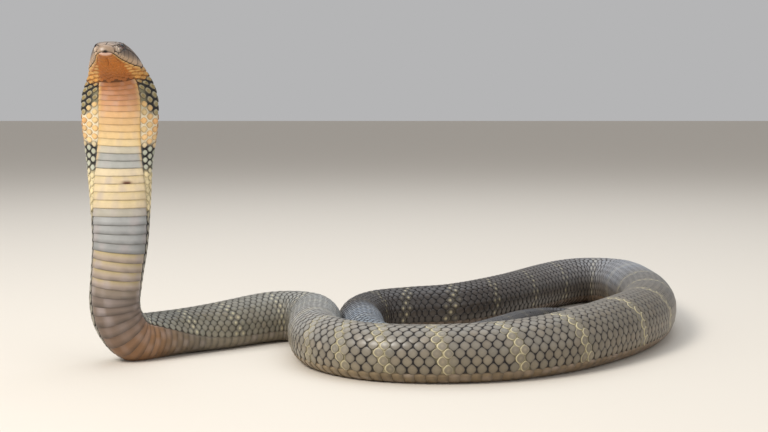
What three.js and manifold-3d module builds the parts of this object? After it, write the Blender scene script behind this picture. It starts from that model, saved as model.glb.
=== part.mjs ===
// A life-size king cobra, reared with its hood half spread, the rest of its body lying on the floor in one
// long loop that holds the tail. Millimetres, +Z up, floor at z = 0, origin at the middle of the footprint.
// The animal is one bent form from the snout to the tail tip, cut into named lengths: s is the distance from
// the snout along its middle line, and a is the angle round its section, 0 on the back and 180 on the belly.
import * as THREE from "three";
import { mergeVertices } from "three/addons/utils/BufferGeometryUtils.js";
import Module from "manifold-3d";

const wasm = await Module();
wasm.setup();

// Driving dimensions
const FOOTPRINT_MIDDLE = [24.3, 271.2]; // where the route's own axes put the middle of the footprint
const JOINT_GAP = 0.3; // between two lengths that meet face to face
const LIP_GAP = 0.6; // between the lips of the closed mouth
const BELLY_FLAT = 0.93; // share of the belly's depth at which it is flat on the floor
const FLOOR_FROM = 352; // from here to the tail tip the belly lies on the floor
const HEAD_END = 55; // where the head meets the hood
const SCUTE_PITCH = 9.5; // length of one belly scute
const SCUTE_LIP = 1.0; // how far a scute's rear edge stands over the next
const BODY_SIDES = 16;
const REARED_SIDES = 22;
const RING_STEP = 16; // between two rings of a length on the floor
const HEAD_RINGS = [0, 1.2, 3, 6, 9.5, 13.5, 18, 22.5, 27, 32, 37.5, 43.5, 49.5];
const EYE = { s: 23.5, a: 57, radius: 4.1, sunk: 2.3 };
const NOSTRIL = { s: 5.2, a: 57, radius: 1.5 };
const TONGUE_NOTCH_RADIUS = 1.5;
const SHIELD_HEIGHT = 0.6; // how far a head shield stands over the grooves round it
const SHIELD_ROOT = 1.4; // how deep it is sunk in the head
const SHIELD_STEP = 7; // longest edge of a shield's outline

// Middle line, by hand: x to the animal's left in the view from its front, y away from the viewer, z up.
// Points with no z lie on the floor at the height of their own belly.
const ROUTE = [
  [-272, 40, 317], // snout
  [-272.6, 58, 315],
  [-272.6, 74, 311.5],
  [-272, 87, 304], // jaw angle
  [-271.2, 95.5, 291], // nape
  [-270.5, 98.5, 272],
  [-270.5, 98, 245], // middle of the hood
  [-271.6, 99, 205],
  [-271.3, 98, 165],
  [-271.8, 96, 125],
  [-276, 95, 88],
  [-278.5, 96, 62],
  [-275.5, 99, 44],
  [-265, 109, 31], // foot of the reared neck
  [-246, 128, 25.5],
  [-216, 156],
  [-182, 184],
  [-149, 216],
  [-130, 230],
  [-112, 236], // forebody turns towards the viewer
  [-94.5, 232],
  [-82, 219.5],
  [-76.5, 202],
  [-75, 165],
  [-72.5, 122],
  [-56, 64],
  [-16, 21],
  [44, 5], // midbody, nearest the viewer
  [112, 16],
  [172, 52],
  [228, 112],
  [277, 188],
  [308, 272],
  [323, 362],
  [325.5, 438],
  [324, 484],
  [317, 513],
  [298, 532], // far turn of the loop
  [270, 535],
  [245, 520],
  [214, 484],
  [145, 387],
  [78, 322],
  [28, 308],
  [-10, 290],
  [-27, 250], // near turn, beside the forebody
  [-23, 200],
  [-18, 146],
  [-2, 106],
  [32, 86],
  [70, 102],
  [105, 158], // tail
  [135, 222],
  [165, 292],
  [205, 348],
  [247, 352],
  [263, 312],
  [248, 268],
  [212, 240], // tip
];

// Girth: distance from the snout, half width, height above the middle line, depth below it, and how square
// the upper and the lower half of the section are (2 is an ellipse, under 2 has thin edges like the hood's).
const GIRTH = [
  [0, 4.5, 3.4, 1.8, 2.2, 2.2],
  [1.2, 7.4, 5.4, 2.8, 2.3, 2.3],
  [4, 10.2, 7.8, 4.2, 2.5, 2.4],
  [9, 12.8, 10, 5.6, 2.7, 2.4],
  [16, 15, 12.8, 6.8, 2.8, 2.4],
  [24, 17.6, 15.2, 8, 2.8, 2.3],
  [34, 21.4, 16.2, 9.6, 2.7, 2.2],
  [46, 25.2, 16.8, 11.2, 2.4, 2.1],
  [55, 28.4, 16.8, 11.5, 2.1, 2],
  [65, 33, 16, 10.8, 1.8, 1.9],
  [75, 37, 15, 10, 1.6, 1.7],
  [88, 39.2, 14.6, 9.8, 1.5, 1.7],
  [112, 38.6, 14.6, 10.2, 1.5, 1.7],
  [132, 36, 15, 11.2, 1.6, 1.8],
  [152, 33.4, 16.6, 14, 1.7, 1.9],
  [188, 31, 20, 18.4, 1.8, 2.1],
  [229, 28.4, 23.8, 23, 2, 2.3],
  [270, 26.4, 25, 24.4, 2, 2.4],
  [330, 25, 24.6, 24.2, 2, 2.4],
  [400, 25, 24.4, 24.4, 2, 2.5],
  [460, 27, 26.2, 26.2, 2, 2.5],
  [530, 29.2, 28.4, 28.4, 2, 2.5],
  [640, 28.6, 27.8, 27.8, 2, 2.5],
  [760, 28.4, 27.6, 27.6, 2, 2.5],
  [930, 29.6, 28.8, 28.8, 2, 2.5],
  [1110, 33.2, 32.4, 32.4, 2, 2.5],
  [1260, 33, 32, 32, 2, 2.5],
  [1540, 31.4, 30.6, 30.6, 2, 2.5],
  [1740, 28.8, 28, 28, 2, 2.4],
  [1900, 26.4, 25.6, 25.6, 2, 2.4],
  [2060, 23, 22.2, 22.2, 2, 2.3],
  [2200, 19.2, 18.6, 18.6, 2, 2.2],
  [2330, 16, 15.6, 15.6, 2, 2.2],
  [2440, 12.6, 12.2, 12.2, 2, 2.1],
  [2520, 8.8, 8.6, 8.6, 2, 2.1],
  [2600, 5, 5, 5, 2, 2.1],
  [2670, 1.6, 1.6, 1.6, 2, 2],
];

// The lengths behind the head, each from its start to the next one's
const LENGTHS = [
  ["hood", HEAD_END],
  ["neck", 195],
  ["neck_bend", 300],
  ["forebody_straight", 400],
  ["forebody_bend_1", 515],
  ["forebody_bend_2", 580],
  ["forebody_bend_3", 655],
  ["midbody_near_1", 790],
  ["midbody_near_2", 950],
  ["midbody_turn_1", 1120],
  ["midbody_turn_2", 1280],
  ["midbody_turn_3", 1440],
  ["midbody_turn_4", 1520],
  ["hindbody_1", 1600],
  ["hindbody_2", 1740],
  ["hindbody_bend_1", 1860],
  ["hindbody_bend_2", 1940],
  ["tail_base", 2060],
  ["tail_bend", 2130],
  ["tail_middle", 2220],
  ["tail_end_1", 2390],
  ["tail_end_2", 2490],
  ["tail_tip", 2570],
];

// Head shields as outlines of [s, a], on the upper head and, past 90, on the lower jaw. Each is made on both
// sides, apart from those that cross the middle line.
const CROWN_SHIELDS = {
  internasal: [[3, 3], [2.6, 34], [8, 38], [8.6, 3]],
  prefrontal: [[9.3, 3], [8.8, 40], [16, 44], [17.2, 16], [15.8, 3]],
  supraocular: [[17.9, 20], [17.2, 47], [29.4, 49], [29.6, 20]],
  parietal: [[31.6, 2.5], [30.2, 20], [30.4, 44], [42.6, 44], [43.6, 20], [44.4, 2.5]],
  occipital: [[45.2, 2.5], [44.4, 22], [43.8, 40], [51, 34], [52.2, 14], [52, 2.5]],
};
const FRONTAL_SHIELD = [[16.8, 0], [18, 17], [29.6, 17], [31.2, 8], [31.2, -8], [29.6, -17], [18, -17]];
const CHEEK_SHIELDS = {
  nasal_front: [[1.6, 62], [2.2, 46], [3.9, 44], [3.7, 66]],
  nasal_rear: [[7.2, 44], [11, 47], [11, 68], [7.2, 68]],
  preocular: [[12, 50], [17.6, 52], [18, 66], [12.4, 68]],
  postocular: [[29.6, 54], [33.2, 50], [33.6, 66], [29.4, 66]],
  temporal_front: [[34.2, 48], [41.4, 48], [41.4, 67], [34.4, 67]],
  temporal_rear: [[42.2, 47], [50.4, 42], [51, 62], [42.2, 67]],
};
const LABIALS = { upper: 7, lower: 8, from: 2.6, to: 47, gap: 0.7, upperA: [71, 86], lowerA: [94, 112] };
const CHIN_SHIELDS = {
  front: [[5, 178], [5, 150], [13, 152], [13.6, 178]],
  rear: [[14.4, 178], [13.8, 153], [23, 158], [23.6, 178]],
};

const COLOUR = {
  crown: 0x7a6752,
  throat: 0xb8762e,
  hood: 0xd9bd86,
  neck: 0xa9a496,
  body: 0x6d6660,
  tail: 0x4b4845,
  eye: 0x1c120c,
};

const UP = new THREE.Vector3(0, 0, 1);
const BACK_OF_REARED = new THREE.Vector3(-0.12, 1, 0); // the reared neck's back faces away from the viewer
const BACK_AT_FOOT = new THREE.Vector3(-0.45, 0.9, 0); // and at its foot a little more to the right
const TURN_SPAN = [240, 345]; // where the back turns from the one to the other
const FOOT_SPAN = [262, 478]; // where the back rolls up as the body comes down on the floor

const degrees = THREE.MathUtils.degToRad;
const smooth = THREE.MathUtils.smoothstep;

// One column of the girth table at s, on a smooth curve through its rows
function girthValue(column, s) {
  const last = GIRTH.length - 1;
  const x = THREE.MathUtils.clamp(s, GIRTH[0][0], GIRTH[last][0]);
  let i = GIRTH.findIndex((row, k) => k < last && x <= GIRTH[k + 1][0]);
  if (i < 0) i = last - 1;
  const slope = (k) => {
    const before = GIRTH[Math.max(k - 1, 0)];
    const after = GIRTH[Math.min(k + 1, last)];
    return (after[column] - before[column]) / (after[0] - before[0]);
  };
  const span = GIRTH[i + 1][0] - GIRTH[i][0];
  const t = (x - GIRTH[i][0]) / span;
  const [t2, t3] = [t * t, t * t * t];
  return (
    (2 * t3 - 3 * t2 + 1) * GIRTH[i][column] +
    (t3 - 2 * t2 + t) * span * slope(i) +
    (3 * t2 - 2 * t3) * GIRTH[i + 1][column] +
    (t3 - t2) * span * slope(i + 1)
  );
}

function girth(s) {
  const [width, height, depth, squareTop, squareBottom] = [1, 2, 3, 4, 5].map((c) => girthValue(c, s));
  return { width, height, depth, squareTop, squareBottom };
}

// The middle line as a dense list of points with their distance from the snout
function measureRoute() {
  const typicalHeight = 25;
  const points = ROUTE.map(([x, y, z]) => new THREE.Vector3(x, y, z ?? typicalHeight));
  const curve = new THREE.CatmullRomCurve3(points, false, "centripetal");
  const stepsPerPoint = 24;
  const steps = (points.length - 1) * stepsPerPoint;
  const line = [];
  let s = 0;
  for (let i = 0; i <= steps; i++) {
    const p = curve.getPoint(i / steps);
    if (i) s += p.distanceTo(line[i - 1].p);
    line.push({ s, p });
  }
  const bellyHeight = (at) => BELLY_FLAT * girthValue(3, at);
  const blend = 40;
  for (const sample of line) {
    const onFloor = smooth(sample.s, FLOOR_FROM - blend, FLOOR_FROM);
    sample.p.z += (bellyHeight(sample.s) - sample.p.z) * onFloor;
  }
  return line;
}

const LINE = measureRoute();
const BODY_LENGTH = LINE[LINE.length - 1].s;

function pointAt(s) {
  const x = THREE.MathUtils.clamp(s, 0, BODY_LENGTH);
  let [low, high] = [0, LINE.length - 1];
  while (high - low > 1) {
    const middle = (low + high) >> 1;
    if (LINE[middle].s <= x) low = middle;
    else high = middle;
  }
  const t = (x - LINE[low].s) / (LINE[high].s - LINE[low].s);
  return LINE[low].p.clone().lerp(LINE[high].p, t);
}

// Where the section at s stands, and which way its back and its right side face
function frameAt(s) {
  const reach = 2.5;
  const tangent = pointAt(s + reach).sub(pointAt(s - reach)).normalize();
  const turn = smooth(s, ...TURN_SPAN);
  const lying = smooth(s, ...FOOT_SPAN);
  const raisedBack = BACK_OF_REARED.clone().lerp(BACK_AT_FOOT, turn);
  const onHead = 1 - smooth(s, 30, 85);
  const guide = raisedBack.lerp(UP, Math.max(lying, onHead));
  const back = guide.addScaledVector(tangent, -guide.dot(tangent)).normalize();
  const side = new THREE.Vector3().crossVectors(back, tangent);
  return { middle: pointAt(s), back, side };
}

const power = (value, exponent) => Math.sign(value) * Math.abs(value) ** exponent;

// A point of the section at s, at the angle a in degrees, raised by lift along the section. The floor stops
// what would reach below it, so the belly lies on a flat.
function skinPoint(s, a, lift = 0, f = frameAt(s)) {
  const g = girth(s);
  const [sine, cosine] = [Math.sin(degrees(a)), Math.cos(degrees(a))];
  const exponent = 2 / (cosine >= 0 ? g.squareTop : g.squareBottom);
  const reach = cosine >= 0 ? g.height : g.depth;
  const sideways = power(sine, exponent) * g.width;
  const upwards = power(cosine, exponent) * reach;
  const length = Math.hypot(sideways, upwards) || 1;
  const grow = 1 + lift / length;
  const point = f.middle.clone().addScaledVector(f.side, sideways * grow);
  point.addScaledVector(f.back, upwards * grow);
  point.z = Math.max(point.z, 0);
  return point;
}

// The ring of points at s. At a joint its whole plane is moved along the body by half the joint's gap.
function ring(s, sides, moved = 0, liftAt = () => 0) {
  const f = frameAt(s);
  f.middle.addScaledVector(new THREE.Vector3().crossVectors(f.side, f.back), moved);
  return Array.from({ length: sides }, (_, j) => {
    const a = (j * 360) / sides;
    return skinPoint(s, a, liftAt(s, a), f);
  });
}

// A closed skin over rings of points, with a fan over each end
function loft(rings) {
  const sides = rings[0].length;
  const position = rings.flat().flatMap((p) => [p.x, p.y, p.z]);
  const index = [];
  for (let i = 0; i + 1 < rings.length; i++)
    for (let j = 0; j < sides; j++) {
      const [a, b] = [i * sides + j, i * sides + ((j + 1) % sides)];
      index.push(a, b, a + sides, b, b + sides, a + sides);
    }
  for (const end of [0, rings.length - 1]) {
    const centre = rings[end].reduce((sum, p) => sum.add(p), new THREE.Vector3()).divideScalar(sides);
    const hub = position.push(centre.x, centre.y, centre.z) / 3 - 1;
    for (let j = 0; j < sides; j++) {
      const [a, b] = [end * sides + j, end * sides + ((j + 1) % sides)];
      if (end) index.push(a, b, hub);
      else index.push(b, a, hub);
    }
  }
  const geometry = new THREE.BufferGeometry();
  geometry.setAttribute("position", new THREE.Float32BufferAttribute(position, 3));
  geometry.setIndex(index);
  return faceOut(geometry);
}

// Reverses the faces of a closed geometry whose volume comes out negative
function faceOut(geometry) {
  const [p, index] = [geometry.getAttribute("position"), geometry.getIndex()];
  const [a, b, c] = [new THREE.Vector3(), new THREE.Vector3(), new THREE.Vector3()];
  let volume = 0;
  for (let i = 0; i < index.count; i += 3) {
    a.fromBufferAttribute(p, index.getX(i));
    b.fromBufferAttribute(p, index.getX(i + 1));
    c.fromBufferAttribute(p, index.getX(i + 2));
    volume += a.dot(b.cross(c));
  }
  if (volume < 0)
    for (let i = 0; i < index.count; i += 3) {
      const second = index.getX(i + 1);
      index.setX(i + 1, index.getX(i + 2));
      index.setX(i + 2, second);
    }
  return geometry;
}

function toSolid(geometry) {
  const bare = new THREE.BufferGeometry();
  bare.setAttribute("position", geometry.getAttribute("position"));
  bare.setIndex(geometry.getIndex());
  const merged = mergeVertices(bare, 1e-4);
  return new wasm.Manifold(
    new wasm.Mesh({
      numProp: 3,
      vertProperties: new Float32Array(merged.getAttribute("position").array),
      triVerts: new Uint32Array(merged.getIndex().array),
    }),
  );
}

// The largest closed body of a solid, as a geometry
function toGeometry(solid) {
  const bodies = solid.decompose().sort((one, other) => other.volume() - one.volume());
  const mesh = bodies[0].getMesh();
  const geometry = new THREE.BufferGeometry();
  const position = new THREE.Float32BufferAttribute(mesh.vertProperties, 3);
  return geometry.setAttribute("position", position).setIndex([...mesh.triVerts]);
}

// How far the belly scutes raise the skin: each one rises from its root to its free rear edge
function scuteLift(s, a) {
  const fromMiddle = 180 - Math.abs(((a + 180) % 360) - 180);
  const halfSpan = 38 + 32 * smooth(s, 105, 230); // narrow under the hood, almost half way round below it
  if (fromMiddle > halfSpan) return 0;
  const along = (s - HEAD_END) / SCUTE_PITCH;
  return SCUTE_LIP * (along - Math.floor(along));
}

// One length of the reared neck, with two rings to each scute: its root and its free edge
function scutedLength(from, to) {
  const edge = 0.03 * SCUTE_PITCH;
  const stations = [from];
  const first = Math.ceil((from - HEAD_END) / SCUTE_PITCH);
  for (let k = first; HEAD_END + k * SCUTE_PITCH < to; k++) {
    const boundary = HEAD_END + k * SCUTE_PITCH;
    for (const s of [boundary - edge, boundary + edge]) if (s > from + 1 && s < to - 1) stations.push(s);
  }
  stations.push(to);
  return loft(stations.map((s) => ring(s, REARED_SIDES, gapShift(s, from, to), scuteLift)));
}

// Half a joint's gap backwards at the front end of a length, forwards at its rear end
function gapShift(s, from, to) {
  if (s === from) return JOINT_GAP / 2;
  return s === to ? -JOINT_GAP / 2 : 0;
}

function plainLength(from, to) {
  const count = Math.max(3, Math.round((to - from) / RING_STEP));
  const stations = Array.from({ length: count + 1 }, (_, i) => from + ((to - from) * i) / count);
  stations[count] = to;
  return loft(stations.map((s) => ring(s, BODY_SIDES, s === BODY_LENGTH ? 0 : gapShift(s, from, to))));
}

// The upper head or the lower jaw: the half of each section on one side of the closed lips
function headHalf(upper) {
  const stations = [...HEAD_RINGS, HEAD_END - JOINT_GAP / 2];
  const arcSteps = upper ? 18 : 14;
  const lipSteps = 4;
  const [start, sweep] = upper ? [-90, 180] : [90, 180];
  const level = (upper ? 1 : -1) * (LIP_GAP / 2);
  return loft(
    stations.map((s) => {
      const f = frameAt(s);
      const ring = [];
      for (let i = 0; i <= arcSteps; i++) {
        const point = skinPoint(s, start + (sweep * i) / arcSteps);
        const above = point.clone().sub(f.middle).dot(f.back);
        if (i === 0 || i === arcSteps) point.addScaledVector(f.back, level - above);
        ring.push(point);
      }
      const [last, first] = [ring[arcSteps], ring[0]];
      for (let i = 1; i < lipSteps; i++) ring.push(last.clone().lerp(first, i / lipSteps));
      return ring;
    }),
  );
}

// A raised plate over an outline of [s, a] on the skin, sunk well into it
function shield(outline, side = 1) {
  const rim = [];
  outline.forEach(([s, a], i) => {
    const [nextS, nextA] = outline[(i + 1) % outline.length];
    const here = skinPoint(s, a * side);
    const pieces = Math.max(1, Math.round(here.distanceTo(skinPoint(nextS, nextA * side)) / SHIELD_STEP));
    for (let k = 0; k < pieces; k++) rim.push([s + ((nextS - s) * k) / pieces, a + ((nextA - a) * k) / pieces]);
  });
  const middle = [0, 1].map((c) => rim.reduce((sum, p) => sum + p[c], 0) / rim.length);
  const inner = 0.8; // the plate's top is a little smaller than its foot
  const shrink = ([s, a], k) => [middle[0] + (s - middle[0]) * k, middle[1] + (a - middle[1]) * k];
  const at = (k, lift) => rim.map((p) => skinPoint(shrink(p, k)[0], shrink(p, k)[1] * side, lift));
  const rings = [at(0.9, -SHIELD_ROOT), at(1, SHIELD_HEIGHT * 0.55), at(inner, SHIELD_HEIGHT)];
  const geometry = loft(rings);
  const position = geometry.getAttribute("position");
  const hub = skinPoint(middle[0], middle[1] * side, SHIELD_HEIGHT * 1.05);
  position.setXYZ(position.count - 1, hub.x, hub.y, hub.z);
  const deepHub = skinPoint(middle[0], middle[1] * side, -SHIELD_ROOT);
  position.setXYZ(position.count - 2, deepHub.x, deepHub.y, deepHub.z);
  return toSolid(geometry);
}

const bothSides = (outline) => [shield(outline, 1), shield(outline, -1)];

// The row of shields along one lip
function labials(count, [nearLip, farLip]) {
  const pitch = (LABIALS.to - LABIALS.from) / count;
  const plates = [];
  for (let k = 0; k < count; k++) {
    const from = LABIALS.from + k * pitch;
    const to = from + pitch - LABIALS.gap;
    plates.push(...bothSides([[from, nearLip], [from, farLip], [to, farLip], [to, nearLip]]));
  }
  return plates;
}

function ball(radius, centre, turns = 10) {
  const geometry = new THREE.SphereGeometry(radius, turns, Math.round(turns * 0.7));
  geometry.translate(centre.x, centre.y, centre.z);
  return geometry;
}

const eyeCentre = (side) => skinPoint(EYE.s, EYE.a * side, -EYE.sunk);

function upperHead() {
  const plates = [
    ...Object.values(CROWN_SHIELDS).flatMap(bothSides),
    ...Object.values(CHEEK_SHIELDS).flatMap(bothSides),
    shield(FRONTAL_SHIELD),
    ...labials(LABIALS.upper, LABIALS.upperA),
  ];
  let solid = wasm.Manifold.union([toSolid(headHalf(true)), ...plates]);
  for (const side of [1, -1]) {
    solid = solid.subtract(toSolid(ball(EYE.radius + JOINT_GAP, eyeCentre(side), 14)));
    const nostril = ball(NOSTRIL.radius, skinPoint(NOSTRIL.s, NOSTRIL.a * side, 0.3), 8);
    solid = solid.subtract(toSolid(nostril));
  }
  return toGeometry(solid.subtract(toSolid(tongueNotch())));
}

function lowerJaw() {
  const plates = [...Object.values(CHIN_SHIELDS).flatMap(bothSides), ...labials(LABIALS.lower, LABIALS.lowerA)];
  return toGeometry(wasm.Manifold.union([toSolid(headHalf(false)), ...plates]));
}

// The small arch under the snout that the tongue passes through
function tongueNotch() {
  return ball(TONGUE_NOTCH_RADIUS, pointAt(0), 8);
}

const animal = new THREE.Group();
animal.position.set(-FOOTPRINT_MIDDLE[0], -FOOTPRINT_MIDDLE[1], 0);

function addPart(name, geometry, colour, roughness = 0.45) {
  const mesh = new THREE.Mesh(geometry, new THREE.MeshStandardMaterial({ color: colour, roughness, metalness: 0 }));
  mesh.name = name;
  animal.add(mesh);
}

function lengthColour(name) {
  if (name === "hood" || name === "neck") return COLOUR[name];
  return name.startsWith("tail") ? COLOUR.tail : COLOUR.body;
}

addPart("head", upperHead(), COLOUR.crown);
addPart("lower_jaw", lowerJaw(), COLOUR.throat);
addPart("eye_left", ball(EYE.radius, eyeCentre(-1), 12), COLOUR.eye, 0.1);
addPart("eye_right", ball(EYE.radius, eyeCentre(1), 12), COLOUR.eye, 0.1);

LENGTHS.forEach(([name, start], i) => {
  const end = i + 1 < LENGTHS.length ? LENGTHS[i + 1][1] : BODY_LENGTH;
  const reared = start < FLOOR_FROM;
  addPart(name, reared ? scutedLength(start, end) : plainLength(start, end), lengthColour(name));
});

const root = new THREE.Group();
root.add(animal);

export default root;
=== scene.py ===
import math

import bpy
import numpy as np
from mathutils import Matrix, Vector


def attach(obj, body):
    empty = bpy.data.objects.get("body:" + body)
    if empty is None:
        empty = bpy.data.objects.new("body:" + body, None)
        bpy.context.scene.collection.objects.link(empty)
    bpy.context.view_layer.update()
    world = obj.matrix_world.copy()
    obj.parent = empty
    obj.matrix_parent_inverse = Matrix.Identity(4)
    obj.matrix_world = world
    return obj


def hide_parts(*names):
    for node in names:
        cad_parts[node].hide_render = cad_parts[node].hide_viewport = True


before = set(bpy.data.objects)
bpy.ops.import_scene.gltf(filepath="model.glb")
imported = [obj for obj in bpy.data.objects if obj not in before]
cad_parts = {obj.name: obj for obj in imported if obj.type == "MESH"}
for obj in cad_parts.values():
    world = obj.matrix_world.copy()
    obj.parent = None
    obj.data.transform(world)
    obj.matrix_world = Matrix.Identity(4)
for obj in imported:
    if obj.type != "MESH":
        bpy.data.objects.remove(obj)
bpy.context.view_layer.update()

# A king cobra, reared with its hood half spread

# The body is one bent form. s is the distance from the snout along its middle line, in millimetres, and a is
# the angle round its section, in degrees: 0 on the back, 90 on the animal's right, 180 on the belly.

MM = 0.001
FOOTPRINT_MIDDLE = np.array((24.3, 271.2, 0.0))  # the frame's origin, in the route's coordinates
BELLY_FLAT = 0.93  # height of the middle line on the floor, as a share of the depth below it
FLOOR_FROM = 352.0  # from here back the body lies on the floor
SKIN_DEPTH = 0.9  # how far the skin lies inside the solids, under the scales
HEAD_SKIN_DEPTH = 0.35  # the same under the shields of the head
HEAD_END = 58.0  # behind here the skin is covered with separate scales
RELIEF_END = 90  # behind here the body has its plain form
UV_PATCH = 0.0015  # half the width of a scale's patch of the map
SEED = 11

# The middle line, as in the solids. A point with no height lies on the floor.
ROUTE = [
    (-272, 40, 317), (-272.6, 58, 315), (-272.6, 74, 311.5), (-272, 87, 304), (-271.2, 95.5, 291),
    (-270.5, 98.5, 272), (-270.5, 98, 245), (-271.6, 99, 205), (-271.3, 98, 165), (-271.8, 96, 125),
    (-276, 95, 88), (-278.5, 96, 62), (-275.5, 99, 44), (-265, 109, 31), (-246, 128, 25.5),
    (-216, 156), (-182, 184), (-149, 216), (-130, 230), (-112, 236),
    (-94.5, 232), (-82, 219.5), (-76.5, 202), (-75, 165), (-72.5, 122),
    (-56, 64), (-16, 21), (44, 5), (112, 16), (172, 52),
    (228, 112), (277, 188), (308, 272), (323, 362), (325.5, 438),
    (324, 484), (317, 513), (298, 532), (270, 535), (245, 520),
    (214, 484), (145, 387), (78, 322), (28, 308), (-10, 290),
    (-27, 250), (-23, 200), (-18, 146), (-2, 106), (32, 86),
    (70, 102), (105, 158), (135, 222), (165, 292), (205, 348),
    (247, 352), (263, 312), (248, 268), (212, 240),
]

# Distance from the snout, half width, height above the middle line, depth below it, squareness above, below
GIRTH = np.array([
    (-1.6, 0.2, 0.2, 0.1, 2, 2),
    (-1.4, 2.4, 1.9, 1.1, 2, 2),
    (-0.9, 4.3, 3.5, 1.9, 2.1, 2.1),
    (0, 6.4, 5.2, 2.7, 2.3, 2.2),
    (1.2, 8.3, 6.7, 3.4, 2.4, 2.3),
    (4, 10.8, 8.7, 4.5, 2.5, 2.4),
    (9, 13, 10.6, 5.7, 2.7, 2.4),
    (16, 15, 12.8, 6.8, 2.8, 2.4),
    (24, 17.6, 15.2, 8, 2.8, 2.3),
    (34, 21.4, 16.2, 9.6, 2.7, 2.2),
    (46, 25.2, 16.8, 11.2, 2.4, 2.1),
    (55, 28.4, 16.8, 11.5, 2.1, 2),
    (65, 33, 16, 10.8, 1.8, 1.9),
    (75, 37, 15, 10, 1.6, 1.7),
    (88, 39.2, 14.6, 9.8, 1.5, 1.7),
    (112, 38.6, 14.6, 10.2, 1.5, 1.7),
    (132, 36, 15, 11.2, 1.6, 1.8),
    (152, 33.4, 16.6, 14, 1.7, 1.9),
    (188, 31, 20, 18.4, 1.8, 2.1),
    (229, 28.4, 23.8, 23, 2, 2.3),
    (270, 26.4, 25, 24.4, 2, 2.4),
    (330, 25, 24.6, 24.2, 2, 2.4),
    (400, 25, 24.4, 24.4, 2, 2.5),
    (460, 27, 26.2, 26.2, 2, 2.5),
    (530, 29.2, 28.4, 28.4, 2, 2.5),
    (640, 28.6, 27.8, 27.8, 2, 2.5),
    (760, 28.4, 27.6, 27.6, 2, 2.5),
    (930, 29.6, 28.8, 28.8, 2, 2.5),
    (1110, 33.2, 32.4, 32.4, 2, 2.5),
    (1260, 33, 32, 32, 2, 2.5),
    (1540, 31.4, 30.6, 30.6, 2, 2.5),
    (1740, 28.8, 28, 28, 2, 2.4),
    (1900, 26.4, 25.6, 25.6, 2, 2.4),
    (2060, 23, 22.2, 22.2, 2, 2.3),
    (2200, 19.2, 18.6, 18.6, 2, 2.2),
    (2330, 16, 15.6, 15.6, 2, 2.2),
    (2440, 12.6, 12.2, 12.2, 2, 2.1),
    (2520, 8.8, 8.6, 8.6, 2, 2.1),
    (2600, 5, 5, 5, 2, 2.1),
    (2670, 1.6, 1.6, 1.6, 2, 2),
])

BACK_OF_REARED = np.array((-0.12, 1.0, 0.0))
BACK_AT_FOOT = np.array((-0.45, 0.9, 0.0))
UP = np.array((0.0, 0.0, 1.0))

# Lengths over which the back's direction changes: behind the head, above the foot, and on to the floor
HEAD_SPAN = (30, 85)
TURN_SPAN = (240, 345)
FOOT_SPAN = (262, 478)

# Length of one belly scute along the body, and of one back scale on the hood, where these grow apart
PITCH = (
    (0, 5.6), (75, 5.6), (100, 6.6), (120, 7.2), (150, 7.8), (190, 8.5), (230, 9.2), (270, 9.0), (300, 7.9),
    (340, 7.2), (390, 7.5), (450, 8.4), (500, 8.9), (640, 9.2), (700, 9.4), (900, 9.5), (1300, 9.7),
    (1450, 9.2), (1700, 9.0), (2000, 8.8), (2150, 8.2), (2300, 7.2), (2450, 6.0), (2600, 4.8), (2680, 4.0),
)
HOOD_PITCH = ((0, 5.6), (62, 6.2), (74, 8.6), (98, 8.4), (130, 7.8), (160, 7.9), (200, 8.7))
HOOD_END = 230.0
FULL_PITCH = 9.0  # shorter scales are thinner in proportion

# Rows of back scales, from each distance on
ROWS = (
    (0, 21), (205, 19), (575, 17), (1990, 15), (2150, 13), (2230, 11), (2320, 9), (2430, 7), (2540, 5),
    (2620, 3),
)

# How much of its cell a back scale fills, and how much wider the lowest rows are
FILL_ALONG = ((56, 1.0), (68, 0.9), (160, 0.9), (200, 1.0), (380, 1.06), (2680, 1.06))
FILL_ACROSS = (
    (56, 1.02), (66, 0.78), (98, 0.74), (104, 0.84), (126, 0.84), (132, 0.74), (160, 0.92), (200, 1.0),
    (380, 1.1), (680, 1.1), (800, 1.07), (1500, 1.07), (2680, 1.05),
)
LOW_ROW_GROWTH = ((60, 0.05), (230, 0.1), (500, 0.3), (800, 0.42), (2680, 0.42))

# Centres of the pale bands: number of the band, distance from the snout
BANDS = (
    (0, 113), (1, 177), (2, 259), (3, 332), (4, 388), (5, 442), (6, 510), (10, 726), (11, 768), (12, 805),
    (13, 855), (14, 921), (15, 994), (16, 1100), (17, 1190), (18, 1275), (20, 1440), (21, 1532), (23, 1700),
    (24, 1781), (25, 1842), (26, 1898), (32, 2174), (40, 2640),
)


def smooth(x, low, high):
    """0 up to low, 1 from high on, and a soft slope between them."""
    t = np.clip((np.asarray(x, float) - low) / (high - low), 0, 1)
    return t * t * (3 - 2 * t)


def bump(x, middle, reach):
    """1 in the middle, falling softly to 0 on both sides."""
    return np.exp(-(((np.asarray(x, float) - middle) / reach) ** 2))


def between(x, start, end, ease=4):
    """1 from start to end, with soft ends."""
    return smooth(x, start - ease, start + ease) - smooth(x, end - ease, end + ease)


def curve_of(table, x):
    """Linear curve through the (place, value) pairs of a table."""
    places, values = zip(*table)
    return np.interp(x, places, values)


def srgb(*colour):
    """Linear colour of an 8-bit one."""
    c = np.array(colour, float) / 255
    return np.where(c <= 0.04045, c / 12.92, ((c + 0.055) / 1.055) ** 2.4)


def colour_curve(table, x):
    """Linear colour through rows of a place and an 8-bit colour."""
    places, *channels = np.array(table, float).T
    return np.stack([np.interp(x, places, srgb(*channel)) for channel in channels], -1)


def mix(one, other, share):
    """Blend of two colours or directions, with a share of the other."""
    share = np.asarray(share, float)[..., None]
    return one * (1 - share) + other * share


# The bent form

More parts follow.
